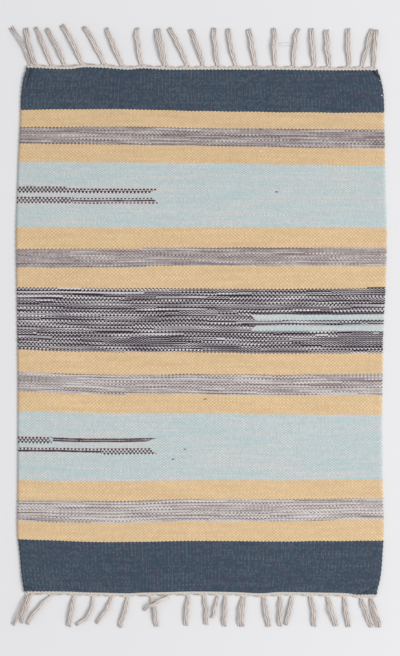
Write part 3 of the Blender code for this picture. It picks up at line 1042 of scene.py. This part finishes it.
def fringe_piece(name, bunches, end):
    tubes = Tubes()
    heading(tubes, end)
    rng = random.Random(5 + end)
    for bunch, group in zip(bunches, share_out(bunches)):
        for slot, warp in enumerate(group):
            places, levels = warp_run(warp, slot, len(group), bunch, end, rng)
            tubes.add(places, YARN_RADIUS, warp, levels)
    for stray in STRAYS if end > 0 else ():
        tubes.add(stray, STRAY_RADIUS, STRAY_NUMBER)
    maps = {"strand": tubes.strand, "depth": tubes.depth}
    piece = mesh_piece(name, tubes.corners, tubes.faces, maps)
    print(name, "has", sum(len(face) - 2 for face in tubes.faces), "triangles")
    return piece


fringe_top = fringe_piece("fringe_cords_top", TOP_BUNCHES, 1)
fringe_bottom = fringe_piece("fringe_cords_bottom", BOTTOM_BUNCHES, -1)

# %% [markdown]
# The fringe is undyed cotton. Its yarns differ a little from one to the next, the picks are a
# cooler white and the heading's cord is pinker. Low down between the yarns, where the depth map is
# low, the cotton looks brown, because there it has only the light that the yarns beside it pass on.
# A fine slanting groove in the bump is each yarn's own ply.

# %% The fringe's dye
FRINGE = {
    "light": shade(232, 223, 217),
    "deep": shade(219, 210, 204),
    "pick": shade(214, 217, 209),
    "cord": shade(218, 198, 190),
    # painted shade, not a dye: the brown low in a cord between the yarns
    "groove": shade(136, 108, 96),
}
PLY_LENGTH = 1.5             # millimetres along a yarn from one groove to the next
PLY_RELIEF = 0.2 * MM
fringe_dye = Dye("undyed_cotton")
number, run, _ = fringe_dye.grid("strand")
yarn = number.nearest()
beside = number - yarn
own = fringe_dye.chance(yarn, 3.0)
patch = fringe_dye.drift(run / 9, yarn * 3.7)
colour = fringe_dye.blend((own + patch).atleast(0.0).upto(1.0), FRINGE["light"], FRINGE["deep"])
colour = fringe_dye.blend(yarn > PICK_NUMBER - 0.5, colour, FRINGE["pick"])
colour = fringe_dye.blend(yarn > CORD_NUMBER - 0.5, colour, FRINGE["cord"])
depth, _, _ = fringe_dye.grid("depth")
# painted shade: brown low in each cord, where the depth map is low
colour = fringe_dye.blend((1.0 - depth.rise(0.2, 0.7)) * 0.55, colour, FRINGE["groove"])
groove = abs((run / PLY_LENGTH + beside * 1.6).part() - 0.5)
fringe_cotton = fringe_dye.finish(colour, groove, PLY_RELIEF)
fringe_top.data.materials.append(fringe_cotton)
fringe_bottom.data.materials.append(fringe_cotton)
print("undyed_cotton has", len(fringe_dye.tree.nodes), "nodes")

# %% [markdown]
# ## Floor, light and camera
#
# A rug is seen best from straight above in even light. The camera is a long lens high over the
# middle, so nothing leans, and the light is one broad lamp a little to the right over a bright
# room, which gives each float and each cord of the fringe a faint soft shadow on its left.

# %% Floor, light and camera
FRAME_MIDDLE = (0.0043, -0.0034)     # what the camera looks at, in metres
FRAME_HEIGHT = 1.102                 # metres of floor from the top to the bottom of the view
CAMERA_HEIGHT = 6.0
SENSOR = 36.0
FLOOR_SIZE = 6.0
FLOOR_DROP = 0.6 * MM                # the floor lies just under the rug, so no two faces coincide
LAMP_PLACE = (4.5, -0.6, 5.1)
LAMP_SIZE = 3.3
LAMP_WATTS = 300
ROOM_STRENGTH = 0.6                  # the light that comes from all sides

bpy.ops.object.select_all(action="DESELECT")
bpy.ops.mesh.primitive_plane_add(size=FLOOR_SIZE, location=(0, 0, -FLOOR_DROP))
floor = bpy.context.object
floor.name = "floor"
floor_dye = Dye("pale_floor")
floor_dye.shader.inputs["Base Color"].default_value = shade(226, 226, 228)
floor_dye.shader.inputs["Roughness"].default_value = 0.9
floor.data.materials.append(floor_dye.material)


def add_lamp(name, place, size, watts):
    """A square soft lamp that faces the middle of the rug."""
    data = bpy.data.lights.new(name, "AREA")
    data.size = size
    data.energy = watts
    lamp = bpy.data.objects.new(name, data)
    lamp.location = place
    lamp.rotation_euler = (-Vector(place)).to_track_quat("-Z", "Y").to_euler()
    bpy.context.scene.collection.objects.link(lamp)


add_lamp("broad_lamp", LAMP_PLACE, LAMP_SIZE, LAMP_WATTS)
world = bpy.data.worlds.new("bright_room")
world.use_nodes = True
world.node_tree.nodes["Background"].inputs["Color"].default_value = (1.0, 1.0, 1.0, 1.0)
world.node_tree.nodes["Background"].inputs["Strength"].default_value = ROOM_STRENGTH
bpy.context.scene.world = world
bpy.context.scene.view_settings.view_transform = "Standard"

camera_data = bpy.data.cameras.new("camera")
camera_data.lens = SENSOR * CAMERA_HEIGHT / FRAME_HEIGHT
camera_data.sensor_width = SENSOR
camera = bpy.data.objects.new("camera", camera_data)
camera.location = (*FRAME_MIDDLE, CAMERA_HEIGHT)
bpy.context.scene.collection.objects.link(camera)
bpy.context.scene.camera = camera
print("lens", round(camera_data.lens), "mm")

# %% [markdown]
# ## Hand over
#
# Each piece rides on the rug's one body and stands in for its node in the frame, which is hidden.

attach(cloth, "root")
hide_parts("rug_cloth")
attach(fringe_top, "root")
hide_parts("fringe_top")
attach(fringe_bottom, "root")
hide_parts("fringe_bottom")
